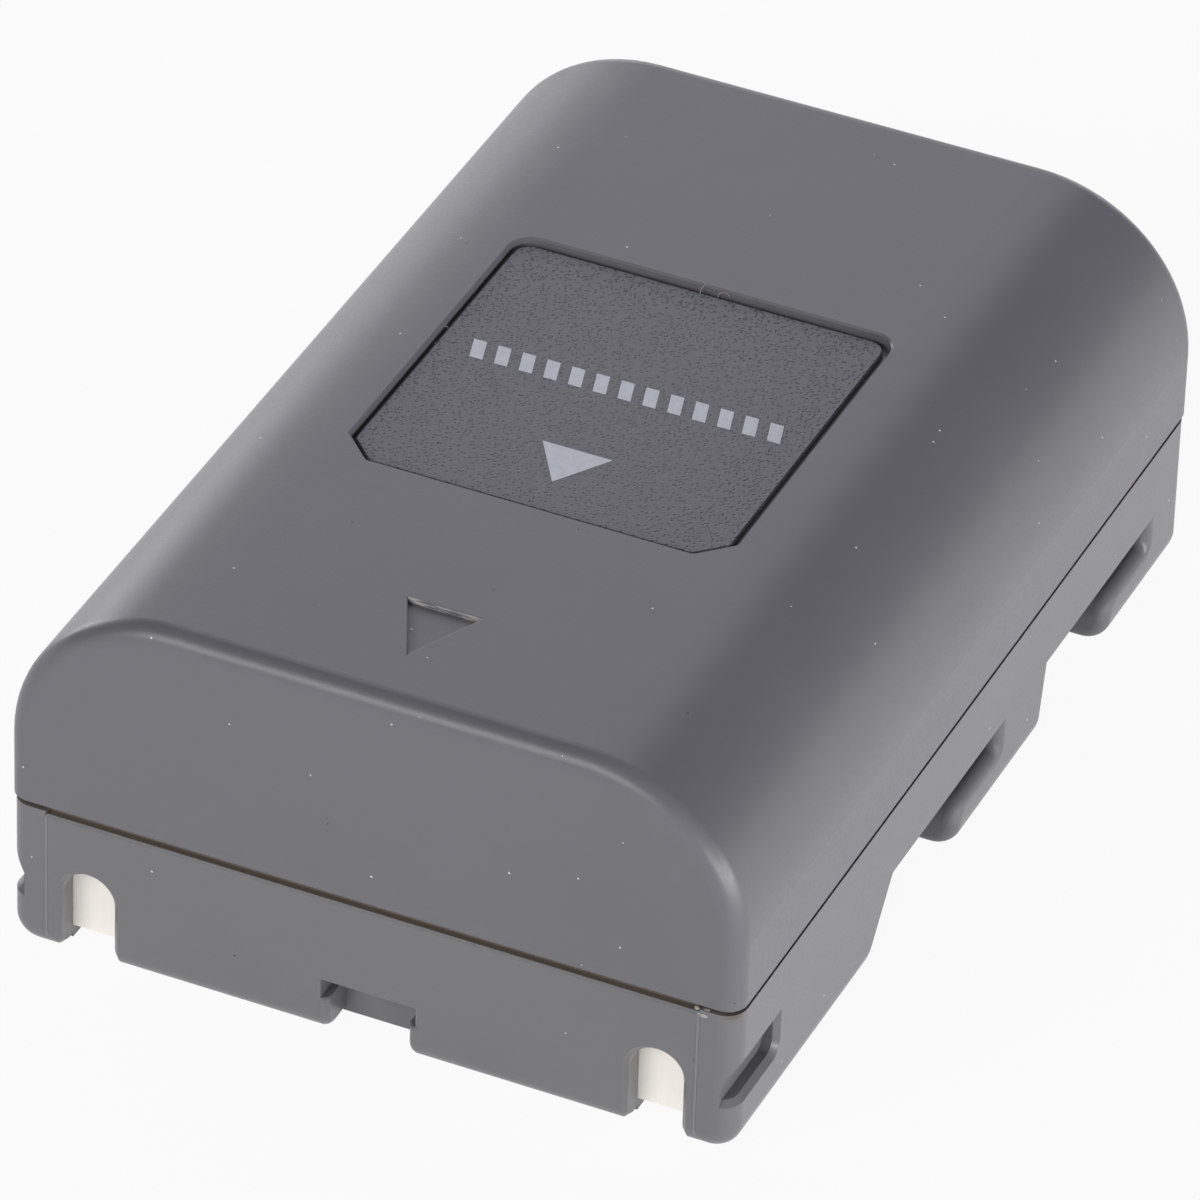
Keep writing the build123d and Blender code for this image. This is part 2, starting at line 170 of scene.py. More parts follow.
class BatteryShellLook(bpy.types.PropertyGroup):
    """Sizes and colours of the moulded shells."""

    # The base's plastic is drawn a little lighter than the cover's: partly its own tone, partly painted
    # light on its lower sides
    base_plastic: colour("Base plastic", "Colour of the base's moulded plastic", "#767578")
    cover_plastic: colour("Cover plastic", "Colour of the cover's moulded plastic", "#706F75")
    # The seam's colour is painted shade in a brown tint, drawn darker deeper under the cover's rim
    seam_brown_shade: colour("Seam stain", "Colour of the browned ledge inside the seam", "#6A5F55")
    # The witness colour is a painted highlight on the raised witness lines
    witness: colour("Witness line", "Colour of the line that the mould's slide leaves", "#88878A")
    dust: colour("Dust", "Colour of the few specks of dust", "#D8D8DA")
    grime: colour("Grime", "Colour of the few specks of grime", "#4E4A47")
    # Painted highlight: this colour is drawn on the arrow's back wall and along two edges, where they would
    # catch light
    painted_highlight: colour("Cutter mark", "Colour of the cutter's marks in the engraved arrow", "#C4C2C0")
    base_roughness: share("Base roughness", "Mean roughness of the base", 0.34)
    cover_roughness: share("Cover roughness", "Mean roughness of the cover", 0.36)
    # The real grain is about 0.05 mm wide: it is drawn coarser here so that it shows
    grain: length("Grain", "Width of one grain of the spark-eroded texture", 0.16)
    grain_height: length("Grain height", "Height of the spark-eroded texture", 0.007)
    flow: length("Flow", "Width of the slow changes of tone left by the melt", 9.0)
    seam: length("Seam", "Height of the wide seam at the contact end", 0.41)
    # Seam fade and rim clearance place the painted shade in the seam; rim clearance also bounds the painted
    # highlight in the engraved arrow
    seam_fade: length("Seam fade", "Distance over which the stain fades out towards the outer face", 0.25)
    rim_clearance: length("Rim clearance", "Height under the cover's rim left free of the stain", 0.02)
    witness_inset: length("Witness inset", "Distance of the witness lines from the base's sides", 2.0)
    witness_width: length("Witness width", "Width of a witness line", 0.1)
    speck_spacing: length("Speck spacing", "Mean distance between specks in space", 1.7)
    speck_radius: length("Speck radius", "Radius of a speck", 0.06)
    pale_specks: share("Pale specks", "Share of the specks that are dust and not grime", 0.7)
    arrow_base: length("Arrow base", "Distance from the front to the engraved arrow's back wall", 7.8)
    arrow_width: length("Arrow width", "Width of the engraved arrow at its back wall", 3.85)
    arrow_length: length("Arrow length", "Length of the engraved arrow", 4.1)
    cutter_step: length("Cutter step", "Height of one step of the cutter in the engraved arrow", 0.11)
    # Painted highlight: these set the pale lines drawn along two edges
    edge_width: length("Edge width", "Width of the worn edges of the arrow and the label's recess", 0.1)
    edge_sheen: share("Edge wear", "How far the worn edges turn to the colour of the cutter's marks", 0.3)
    rim_gap: length("Rim gap", "Distance from the label to the middle of its recess's front edge", 0.25)
    rim_corner: length("Rim corner", "Width of the cut-off corners at the label's front", 1.6)
    rails_middle: length("Rails middle", "Distance from the back to the middle of the latch rails", 20.8)
    rails_length: length("Rails length", "Length over both latch rails and their notches", 32.3)
    rails_height: length("Rails height", "Height of the latch recesses", 4.3)
    rail_inset: length("Rail inset", "How far behind the base's sides the dull surfaces start", 0.05)
    rail_dullness: share("Rail dullness", "How much rougher the latch rails are than the base", 0.2)


class BatteryLabelLook(bpy.types.PropertyGroup):
    """Sizes and colours of the label film and its print."""

    film: colour("Film", "Colour of the embossed label film", "#63656B")
    ink: colour("Ink", "Colour of the screen-printed ink", "#E6EAF4")
    # The real embossing is a little finer: it is drawn coarser here so that it shows
    pebble: length("Pebble", "Width of one pebble of the film's embossing", 0.3)
    pit: length("Pit", "Distance between two of the film's fine pits", 0.2)
    pit_depth: length("Pit depth", "Depth of the film's fine pits", 0.032)
    ink_thickness: length("Ink thickness", "Thickness of the printed ink", 0.015)
    arrow_width: length("Arrow width", "Width of the printed arrow at its base", 3.65)
    arrow_length: length("Arrow length", "Length of the printed arrow", 2.88)
    arrow_base: length("Arrow base", "Distance from the front to the base of the arrow", 22.56)
    row_width: length("Row width", "Width of the printed row of strokes", 16.8)
    row_height: length("Row height", "Height of the printed row of strokes", 1.45)
    row_centre: length("Row centre", "Distance from the front to the middle of the row", 28.15)
    stroke_gap: length("Stroke gap", "Gap between two strokes", 0.62)
    stroke_slant: length("Stroke slant", "How far the front end of a stroke leans to the side", 0.42)
    stroke_count: IntProperty(name="Strokes", description="Number of strokes in the row", default=13, min=1)


class BatteryTraceLook(bpy.types.PropertyGroup):
    """Sizes and colours of what making and use left on the battery."""

    flash: colour("Flash", "Colour of the plastic squeezed out of the weld", "#B0ACA6")
    lint: colour("Lint", "Colour of the lint at the label's edge", "#A9A49C")
    flash_spread: length("Flash spread", "Width of the largest lump of weld flash", 0.45)
    lint_thickness: length("Lint thickness", "Thickness of a fibre of lint", 0.035)
    lint_radius: length("Lint radius", "Radius that a fibre of lint is curled to", 0.34)


class BatteryStageLook(bpy.types.PropertyGroup):
    """The camera and the light of the studio."""

    azimuth: FloatProperty(
        name="Azimuth", description="Turn of the camera round the battery from the contact end",
        default=math.radians(23.484), subtype="ANGLE", unit="ROTATION",
    )
    elevation: FloatProperty(
        name="Elevation", description="Height of the camera above the horizon",
        default=math.radians(35.739), subtype="ANGLE", unit="ROTATION",
    )
    roll: FloatProperty(
        name="Roll", description="Turn of the camera about its line of sight",
        default=math.radians(1.973), subtype="ANGLE", unit="ROTATION",
    )
    aim: FloatVectorProperty(
        name="Aim", description="Point the camera looks at",
        default=(-0.3 * MM, -1.14 * MM, 8.86 * MM), size=3, subtype="XYZ", unit="LENGTH",
    )
    distance: length("Distance", "Distance from the camera to the point it looks at", 515.8)
    lens: FloatProperty(
        name="Lens", description="Focal length in millimetres",
        default=318.81, subtype="DISTANCE_CAMERA", unit="CAMERA",
    )
    floor: colour("Floor", "Colour of the floor", "#F8F8F8")
    floor_size: length("Floor size", "Length of one side of the floor", 6000.0)
    floor_drop: length("Floor drop", "Gap that keeps the floor clear of the underside", 0.02)
    floor_white: share("Floor white", "Share of the floor that the eye sees as plain white", 0.93)
    wall_height: length("Wall height", "Height of the low wall that closes the floor's horizon", 300.0)
    fill: share("Fill", "Strength of the light from all round", 0.02)


def add_node(tree, kind, sockets=None, **settings):
    """Adds a node, sets its properties and puts a value or a link on each socket that is named."""
    node = tree.nodes.new(kind)
    for name, value in settings.items():
        setattr(node, name, value)
    for name, value in (sockets or {}).items():
        if isinstance(value, bpy.types.NodeSocket):
            tree.links.new(value, node.inputs[name])
        else:
            node.inputs[name].default_value = value
    return node


def new_material(name):
    """An empty material and its node tree."""
    material = bpy.data.materials.new(name)
    material.use_nodes = True
    material.node_tree.nodes.clear()
    return material, material.node_tree


def base_marks(tree, look, axes, shade):
    """Adds a painted highlight on the witness lines and painted shade in a brown tint in the seam to the
    base's colour, and tells where it is rubbed.
    """
    from_middle_x = add_node(tree, "ShaderNodeMath", {0: axes.outputs["X"]}, operation="ABSOLUTE")
    from_middle_y = add_node(tree, "ShaderNodeMath", {0: axes.outputs["Y"]}, operation="ABSOLUTE")
    # Painted highlight: a paler line is drawn at each end of the front face, on the raised witness lines
    # that the mould's slide leaves
    on_line = add_node(tree, "ShaderNodeMath", {
        0: from_middle_x.outputs["Value"], 1: BASE_HIGH.x - look.witness_inset, 2: look.witness_width / 2},
        operation="COMPARE")
    on_front = add_node(tree, "ShaderNodeMath", {
        0: axes.outputs["Y"], 1: BASE_LOW.y + look.witness_width}, operation="LESS_THAN")
    below_ledge = add_node(tree, "ShaderNodeMath", {
        0: axes.outputs["Z"], 1: COVER_LOW.z - look.seam}, operation="LESS_THAN")
    front_line = add_node(tree, "ShaderNodeMath", {
        0: on_line.outputs["Value"], 1: on_front.outputs["Value"]}, operation="MULTIPLY")
    witness = add_node(tree, "ShaderNodeMath", {
        0: front_line.outputs["Value"], 1: below_ledge.outputs["Value"]}, operation="MULTIPLY")
    witness_lit = add_node(tree, "ShaderNodeMix", {
        "Factor": witness.outputs["Value"], 6: shade, 7: look.witness}, data_type="RGBA")
    # Painted shade in a brown tint: the ledge in the seam is drawn darker and browner deeper under the
    # cover's rim, and fades out towards the outer faces
    deep_x = add_node(tree, "ShaderNodeMapRange", {
        "Value": from_middle_x.outputs["Value"], "From Min": BASE_HIGH.x,
        "From Max": BASE_HIGH.x - look.seam_fade, "To Min": 0.0, "To Max": 1.0})
    deep_y = add_node(tree, "ShaderNodeMapRange", {
        "Value": from_middle_y.outputs["Value"], "From Min": BASE_HIGH.y,
        "From Max": BASE_HIGH.y - look.seam_fade, "To Min": 0.0, "To Max": 1.0})
    above_ledge = add_node(tree, "ShaderNodeMath", {
        0: axes.outputs["Z"], 1: COVER_LOW.z - look.seam - look.rim_clearance}, operation="GREATER_THAN")
    deep = add_node(tree, "ShaderNodeMath", {
        0: deep_x.outputs["Result"], 1: deep_y.outputs["Result"]}, operation="MULTIPLY")
    in_seam = add_node(tree, "ShaderNodeMath", {
        0: deep.outputs["Value"], 1: above_ledge.outputs["Value"]}, operation="MULTIPLY")
    seam_shaded = add_node(tree, "ShaderNodeMix", {
        "Factor": in_seam.outputs["Value"], 6: witness_lit.outputs[2], 7: look.seam_brown_shade}, data_type="RGBA")
    # The hooks of a bay rub the latch rails dull
    set_back = add_node(tree, "ShaderNodeMath", {
        0: from_middle_x.outputs["Value"], 1: BASE_HIGH.x - look.rail_inset}, operation="LESS_THAN")
    along_rails = add_node(tree, "ShaderNodeMath", {
        0: axes.outputs["Y"], 1: BASE_HIGH.y - look.rails_middle, 2: look.rails_length / 2},
        operation="COMPARE")
    low = add_node(tree, "ShaderNodeMath", {
        0: axes.outputs["Z"], 1: look.rails_height}, operation="LESS_THAN")
    beside_rails = add_node(tree, "ShaderNodeMath", {
        0: set_back.outputs["Value"], 1: along_rails.outputs["Value"]}, operation="MULTIPLY")
    rubbed = add_node(tree, "ShaderNodeMath", {
        0: beside_rails.outputs["Value"], 1: low.outputs["Value"]}, operation="MULTIPLY")
    return seam_shaded.outputs[2], rubbed.outputs["Value"]


def cover_marks(tree, look, axes, shade):
    """Adds painted highlights: pale streaks on the engraved arrow's back wall and pale lines along two
    edges. Nothing there is rubbed.
    """
    from_middle_x = add_node(tree, "ShaderNodeMath", {0: axes.outputs["X"]}, operation="ABSOLUTE")
    # Painted highlight: pale streaks are drawn across the back wall of the engraved arrow, as the light its
    # cutter steps catch
    on_wall = add_node(tree, "ShaderNodeMath", {
        0: axes.outputs["Y"], 1: FRONT + look.arrow_base, 2: look.cutter_step}, operation="COMPARE")
    in_arrow = add_node(tree, "ShaderNodeMath", {
        0: from_middle_x.outputs["Value"], 1: look.arrow_width / 2}, operation="LESS_THAN")
    below_top = add_node(tree, "ShaderNodeMath", {
        0: axes.outputs["Z"], 1: COVER_HIGH.z - look.rim_clearance}, operation="LESS_THAN")
    above_floor = add_node(tree, "ShaderNodeMath", {
        0: axes.outputs["Z"], 1: COVER_HIGH.z - ARROW_STEPS * look.cutter_step}, operation="GREATER_THAN")
    wall = add_node(tree, "ShaderNodeMath", {
        0: on_wall.outputs["Value"], 1: in_arrow.outputs["Value"]}, operation="MULTIPLY")
    level = add_node(tree, "ShaderNodeMath", {
        0: below_top.outputs["Value"], 1: above_floor.outputs["Value"]}, operation="MULTIPLY")
    cut_wall = add_node(tree, "ShaderNodeMath", {
        0: wall.outputs["Value"], 1: level.outputs["Value"]}, operation="MULTIPLY")
    place = add_node(tree, "ShaderNodeTexCoord").outputs["Object"]
    stretched = add_node(tree, "ShaderNodeMapping", {"Vector": place, "Scale": (CUTTER_STRETCH, 1.0, 1.0)})
    steps = add_node(tree, "ShaderNodeTexNoise", {
        "Vector": stretched.outputs["Vector"], "Scale": 1 / look.cutter_step,
        "Detail": 2.0, "Roughness": 0.6})
    step_share = add_node(tree, "ShaderNodeMapRange", {
        "Value": steps.outputs["Fac"], "From Min": 0.42, "From Max": 0.62, "To Min": 0.0, "To Max": 1.0})
    step_highlight = add_node(tree, "ShaderNodeMath", {
        0: cut_wall.outputs["Value"], 1: step_share.outputs["Result"]}, operation="MULTIPLY")
    cut = add_node(tree, "ShaderNodeMix", {
        "Factor": step_highlight.outputs["Value"], 6: shade, 7: look.painted_highlight}, data_type="RGBA")
    # Painted highlight: two edges are drawn paler, the arrow's right one and the front one of the label's
    # recess
    slope = Vector((look.arrow_length, -look.arrow_width / 2, 0.0)).normalized()
    tip = Vector((0.0, FRONT + look.arrow_base - look.arrow_length, 0.0))
    half_edge = look.edge_width / 2
    across = add_node(tree, "ShaderNodeVectorMath", {0: place, 1: slope}, operation="DOT_PRODUCT")
    on_slant = add_node(tree, "ShaderNodeMath", {
        0: across.outputs["Value"], 1: slope.dot(tip) + half_edge, 2: half_edge}, operation="COMPARE")
    along_arrow = add_node(tree, "ShaderNodeMath", {
        0: axes.outputs["Y"], 1: tip.y + look.arrow_length / 2, 2: look.arrow_length / 2},
        operation="COMPARE")
    arrow_edge = add_node(tree, "ShaderNodeMath", {
        0: on_slant.outputs["Value"], 1: along_arrow.outputs["Value"]}, operation="MULTIPLY")
    on_rim = add_node(tree, "ShaderNodeMath", {
        0: axes.outputs["Y"], 1: LABEL_LOW.y - look.rim_gap, 2: half_edge}, operation="COMPARE")
    along_rim = add_node(tree, "ShaderNodeMath", {
        0: from_middle_x.outputs["Value"], 1: LABEL_HIGH.x - look.rim_corner}, operation="LESS_THAN")
    rim_edge = add_node(tree, "ShaderNodeMath", {
        0: on_rim.outputs["Value"], 1: along_rim.outputs["Value"]}, operation="MULTIPLY")
    edges = add_node(tree, "ShaderNodeMath", {
        0: arrow_edge.outputs["Value"], 1: rim_edge.outputs["Value"]}, operation="MAXIMUM")
    near_top = add_node(tree, "ShaderNodeMath", {
        0: axes.outputs["Z"], 1: COVER_HIGH.z - look.edge_width}, operation="GREATER_THAN")
    on_edge = add_node(tree, "ShaderNodeMath", {
        0: edges.outputs["Value"], 1: near_top.outputs["Value"]}, operation="MULTIPLY")
    sheen = add_node(tree, "ShaderNodeMath", {
        0: on_edge.outputs["Value"], 1: look.edge_sheen}, operation="MULTIPLY")
    highlighted = add_node(tree, "ShaderNodeMix", {
        "Factor": sheen.outputs["Value"], 6: cut.outputs[2], 7: look.painted_highlight}, data_type="RGBA")
    return highlighted.outputs[2], 0.0


# Moulded ABS: the spark-eroded mould leaves it satin, so highlights are broad and soft over a fine grain
def moulded_abs(name, look, plastic, dullness, add_marks):
    """The plastic of one shell, in its own colour and mean roughness, with its marks and a few specks."""
    material, tree = new_material(name)
    place = add_node(tree, "ShaderNodeTexCoord").outputs["Object"]
    axes = add_node(tree, "ShaderNodeSeparateXYZ", {"Vector": place})
    flow = add_node(tree, "ShaderNodeTexNoise", {
        "Vector": place, "Scale": 1 / look.flow, "Detail": 3.0, "Roughness": 0.5})
    tone = add_node(tree, "ShaderNodeMapRange", {
        "Value": flow.outputs["Fac"], "From Min": NOISE_LOW, "From Max": NOISE_HIGH,
        "To Min": 0.975, "To Max": 1.025})
    shaded = add_node(tree, "ShaderNodeVectorMath", {
        0: plastic[:3], "Scale": tone.outputs["Result"]}, operation="SCALE")
    marked, rubbed = add_marks(tree, look, axes, shaded.outputs["Vector"])
    # A few specks lie on the surface, some pale and some dark
    specks = add_node(tree, "ShaderNodeTexVoronoi", {"Vector": place, "Scale": 1 / look.speck_spacing})
    on_speck = add_node(tree, "ShaderNodeMath", {
        0: specks.outputs["Distance"], 1: look.speck_radius / look.speck_spacing}, operation="LESS_THAN")
    draw = add_node(tree, "ShaderNodeSeparateColor", {"Color": specks.outputs["Color"]})
    is_dark = add_node(tree, "ShaderNodeMath", {
        0: draw.outputs["Red"], 1: look.pale_specks}, operation="GREATER_THAN")
    speck = add_node(tree, "ShaderNodeMix", {
        "Factor": is_dark.outputs["Value"], 6: look.dust, 7: look.grime}, data_type="RGBA")
    specked = add_node(tree, "ShaderNodeMix", {
        "Factor": on_speck.outputs["Value"], 6: marked, 7: speck.outputs[2]}, data_type="RGBA")
    grain = add_node(tree, "ShaderNodeTexNoise", {
        "Vector": place, "Scale": 1 / look.grain, "Detail": 2.0, "Roughness": 0.6})
    roughness = add_node(tree, "ShaderNodeMapRange", {
        "Value": grain.outputs["Fac"], "From Min": NOISE_LOW, "From Max": NOISE_HIGH,
        "To Min": dullness - GRAIN_SWING, "To Max": dullness + GRAIN_SWING})
    dulled = add_node(tree, "ShaderNodeMath", {
        0: rubbed, 1: look.rail_dullness, 2: roughness.outputs["Result"]}, operation="MULTIPLY_ADD")
    relief = add_node(tree, "ShaderNodeBump", {
        "Strength": 1.0, "Distance": look.grain_height, "Height": grain.outputs["Fac"]})
    shader = add_node(tree, "ShaderNodeBsdfPrincipled", {
        "Base Color": specked.outputs[2], "Roughness": dulled.outputs["Value"], "IOR": 1.53,
        "Normal": relief.outputs["Normal"]})
    add_node(tree, "ShaderNodeOutputMaterial", {"Surface": shader.outputs["BSDF"]})
    return material


# Embossed polycarbonate: each pebble has a lit and a shaded flank, so the film looks speckled; its colour
# is also painted darker in the pits and paler on the pebbles
def embossed_film(look):
    """The dark grey film of the label."""
    material, tree = new_material("embossed_polycarbonate")
    place = add_node(tree, "ShaderNodeTexCoord").outputs["Object"]
    pits = add_node(tree, "ShaderNodeTexVoronoi", {"Vector": place, "Scale": 1 / look.pit})
    pit_shape = add_node(tree, "ShaderNodeMapRange", {
        "Value": pits.outputs["Distance"], "From Min": 0.1, "From Max": 0.42,
        "To Min": 0.0, "To Max": 1.0}, interpolation_type="SMOOTHSTEP")
    pebbles = add_node(tree, "ShaderNodeTexNoise", {
        "Vector": place, "Scale": 1 / look.pebble, "Detail": 2.0, "Roughness": 0.6})
    height = add_node(tree, "ShaderNodeMath", {
        0: pebbles.outputs["Fac"], 1: PEBBLE_SHARE, 2: pit_shape.outputs["Result"]},
        operation="MULTIPLY_ADD")
    # Painted shade and light: the film's colour is drawn darker in its pits and paler on its pebbles
    tone = add_node(tree, "ShaderNodeMapRange", {
        "Value": height.outputs["Value"], "From Min": 0.2, "From Max": 1.35,
        "To Min": 0.64, "To Max": 1.12})
    shaded = add_node(tree, "ShaderNodeVectorMath", {
        0: look.film[:3], "Scale": tone.outputs["Result"]}, operation="SCALE")
    relief = add_node(tree, "ShaderNodeBump", {
        "Strength": 1.0, "Distance": look.pit_depth, "Height": height.outputs["Value"]})
    shader = add_node(tree, "ShaderNodeBsdfPrincipled", {
        "Base Color": shaded.outputs["Vector"], "Roughness": 0.45, "IOR": 1.58,
        "Normal": relief.outputs["Normal"]})
    add_node(tree, "ShaderNodeOutputMaterial", {"Surface": shader.outputs["BSDF"]})
    return material


# Screen-printed ink: an opaque dull white that thins a little over the embossing, so its edges look soft
def screen_ink(look):
    """The white ink of the printed arrow and strokes."""
    material, tree = new_material("screen_ink")
    place = add_node(tree, "ShaderNodeTexCoord").outputs["Object"]
    cover = add_node(tree, "ShaderNodeTexNoise", {
        "Vector": place, "Scale": 1 / look.pebble, "Detail": 2.0, "Roughness": 0.6})
    tone = add_node(tree, "ShaderNodeMapRange", {
        "Value": cover.outputs["Fac"], "From Min": 0.35, "From Max": 0.6, "To Min": 0.92, "To Max": 1.0})
    shaded = add_node(tree, "ShaderNodeVectorMath", {
        0: look.ink[:3], "Scale": tone.outputs["Result"]}, operation="SCALE")
    relief = add_node(tree, "ShaderNodeBump", {
        "Strength": 1.0, "Distance": look.pit_depth * INK_SHARE, "Height": cover.outputs["Fac"]})
    shader = add_node(tree, "ShaderNodeBsdfPrincipled", {
        "Base Color": shaded.outputs["Vector"], "Roughness": 0.55, "IOR": 1.5,
        "Normal": relief.outputs["Normal"]})
    add_node(tree, "ShaderNodeOutputMaterial", {"Surface": shader.outputs["BSDF"]})
    return material


# Rolled nickel: fine streaks along the strip spread the reflections, so it shines without a clear image
def rolled_metal(name, code, streak_width, roughness):
    """Sheet metal of one colour, with streaks of one width along Z."""
    material, tree = new_material(name)
    place = add_node(tree, "ShaderNodeTexCoord").outputs["Object"]
    stretched = add_node(tree, "ShaderNodeMapping", {"Vector": place, "Scale": (1.0, 1.0, STREAK_STRETCH)})
    streaks = add_node(tree, "ShaderNodeTexNoise", {
        "Vector": stretched.outputs["Vector"], "Scale": 1 / streak_width,
        "Detail": 3.0, "Roughness": 0.6})
    dulled = add_node(tree, "ShaderNodeMapRange", {
        "Value": streaks.outputs["Fac"], "From Min": NOISE_LOW, "From Max": NOISE_HIGH,
        "To Min": roughness - STREAK_SWING, "To Max": roughness + STREAK_SWING})
    tone = add_node(tree, "ShaderNodeMapRange", {
        "Value": streaks.outputs["Fac"], "From Min": NOISE_LOW, "From Max": NOISE_HIGH,
        "To Min": 0.97, "To Max": 1.0})
    shaded = add_node(tree, "ShaderNodeVectorMath", {
        0: linear(code)[:3], "Scale": tone.outputs["Result"]}, operation="SCALE")
    shader = add_node(tree, "ShaderNodeBsdfPrincipled", {
        "Base Color": shaded.outputs["Vector"], "Metallic": 1.0, "Roughness": dulled.outputs["Result"]})
    add_node(tree, "ShaderNodeOutputMaterial", {"Surface": shader.outputs["BSDF"]})
    return material


# Plain stuffs, such as sleeve, paper and resin: the grain sets how fine and how flat they look
def grained(name, shade, grain, height, roughness):
    """A material of one linear colour with a grain that is that wide and high, in metres."""
    material, tree = new_material(name)
    place = add_node(tree, "ShaderNodeTexCoord").outputs["Object"]
    noise = add_node(tree, "ShaderNodeTexNoise", {
        "Vector": place, "Scale": 1 / grain, "Detail": 3.0, "Roughness": 0.55})
    tone = add_node(tree, "ShaderNodeMapRange", {
        "Value": noise.outputs["Fac"], "From Min": NOISE_LOW, "From Max": NOISE_HIGH,
        "To Min": 0.94, "To Max": 1.06})
    shaded = add_node(tree, "ShaderNodeVectorMath", {
        0: shade[:3], "Scale": tone.outputs["Result"]}, operation="SCALE")
    relief = add_node(tree, "ShaderNodeBump", {
        "Strength": 1.0, "Distance": height, "Height": noise.outputs["Fac"]})
    shader = add_node(tree, "ShaderNodeBsdfPrincipled", {
        "Base Color": shaded.outputs["Vector"], "Roughness": roughness,
        "Normal": relief.outputs["Normal"]})
    add_node(tree, "ShaderNodeOutputMaterial", {"Surface": shader.outputs["BSDF"]})
    return material


def dress(material, nodes):
    """Gives CAD pieces their finish."""
    for name in nodes:
        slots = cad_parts[name].data.materials
        slots.clear()
        slots.append(material)


def start_piece():
    """Leaves edit mode and clears the selection before a new piece is added."""
    if bpy.context.mode != "OBJECT":
        bpy.ops.object.mode_set(mode="OBJECT")
    bpy.ops.object.select_all(action="DESELECT")


def end_piece(name, material):
    """Names the active piece, sets it at the origin and lets it ride on the battery."""
    piece = bpy.context.object
    piece.name = name
    piece.data.name = name
    bpy.ops.object.transform_apply(location=True, rotation=True, scale=True)
    piece.data.materials.clear()
    piece.data.materials.append(material)
    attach(piece, BODY)


def edit_vertices(test):
    """Goes into edit mode with just those vertices of the active piece selected that pass the test."""
    bpy.ops.object.mode_set(mode="EDIT")
    bpy.ops.mesh.select_mode(type="VERT")
    bpy.ops.mesh.select_all(action="DESELECT")
    bpy.ops.object.mode_set(mode="OBJECT")
    for vertex in bpy.context.object.data.vertices:
        vertex.select = test(vertex.co)
    bpy.ops.object.mode_set(mode="EDIT")


def raise_print(thickness):
    """Extrudes the flat active mesh upwards to the thickness of the ink and turns its faces outwards."""
    bpy.ops.mesh.select_all(action="SELECT")
    bpy.ops.mesh.extrude_region_move(TRANSFORM_OT_translate={"value": (0.0, 0.0, thickness)})
    bpy.ops.mesh.select_all(action="SELECT")
    bpy.ops.mesh.normals_make_consistent(inside=False)
    bpy.ops.object.mode_set(mode="OBJECT")


def outward(turn, lift):
    """The direction at that turn from the contact end and that height above the horizon, in radians."""
    return Vector((math.sin(turn) * math.cos(lift), -math.cos(turn) * math.cos(lift), math.sin(lift)))


def facing(away):
    """The turn of a lamp or a camera that stands in that direction and looks back."""
    return (-away).to_track_quat("-Z", "Y")


def join_pieces(pieces):
    """Joins the pieces into the first one and leaves it active and selected."""
    start_piece()
    for piece in pieces:
        piece.select_set(True)
    bpy.context.view_layer.objects.active = pieces[0]
    bpy.ops.object.join()


class BATTERY_OT_shells(bpy.types.Operator):
    """Give the two moulded shells their grain, their marks with painted highlights and shade, and a few
    specks.
    """

    bl_idname = "battery.shells"
    bl_label = "Finish Shells"

    def execute(self, context):
        look = context.scene.battery_shell
        base = moulded_abs(
            "moulded_abs_base", look, look.base_plastic, look.base_roughness, base_marks)
        cover = moulded_abs(
            "moulded_abs_cover", look, look.cover_plastic, look.cover_roughness, cover_marks)
        dress(base, ("base_tray",))
        dress(cover, ("top_cover",))
        return {"FINISHED"}


class BATTERY_OT_label(bpy.types.Operator):
    """Emboss the label film and print an arrow and a row of strokes on it."""

    bl_idname = "battery.label"
    bl_label = "Finish Label"

    def execute(self, context):
        look = context.scene.battery_label
        dress(embossed_film(look), ("label_plate",))
        ink = screen_ink(look)
        self.print_arrow(look, ink)
        self.print_strokes(look, ink)
        return {"FINISHED"}

    def print_arrow(self, look, ink):
        """A solid triangle that points to the contact end."""
        start_piece()
        # The triangle starts with equal sides, each root three radii long, and is 1.5 radii high
        radius = look.arrow_width / math.sqrt(3)
        place = (0.0, FRONT + look.arrow_base - look.arrow_length / 3, LABEL_HIGH.z)
        bpy.ops.mesh.primitive_circle_add(
            vertices=3, radius=radius, fill_type="NGON", location=place, rotation=(0.0, 0.0, math.pi))
        bpy.ops.object.mode_set(mode="EDIT")
        stretch = look.arrow_length / (1.5 * radius)
        bpy.ops.transform.resize(value=(1.0, stretch, 1.0), center_override=place)
        raise_print(look.ink_thickness)
        end_piece("printed_arrow", ink)

    def print_strokes(self, look, ink):
        """A row of slanted strokes across the label, one modelled and the others copied from it."""
        start_piece()
        pitch = (look.row_width - look.stroke_slant + look.stroke_gap) / look.stroke_count
        width = pitch - look.stroke_gap
        place = (-(look.row_width - look.stroke_slant - width) / 2, FRONT + look.row_centre, LABEL_HIGH.z)
        bpy.ops.mesh.primitive_plane_add(size=1.0, location=place)
        bpy.ops.object.mode_set(mode="EDIT")
        bpy.ops.transform.resize(value=(width, look.row_height, 1.0), center_override=place)
        edit_vertices(lambda corner: corner.y < 0)
        bpy.ops.transform.translate(value=(look.stroke_slant / 2, 0.0, 0.0))
        edit_vertices(lambda corner: corner.y > 0)
        bpy.ops.transform.translate(value=(-look.stroke_slant / 2, 0.0, 0.0))
        raise_print(look.ink_thickness)
        strokes = [bpy.context.object]
        for _ in range(look.stroke_count - 1):
            bpy.ops.object.duplicate()
            bpy.ops.transform.translate(value=(pitch, 0.0, 0.0))
            strokes.append(bpy.context.object)
        join_pieces(strokes)
        end_piece("printed_strokes", ink)


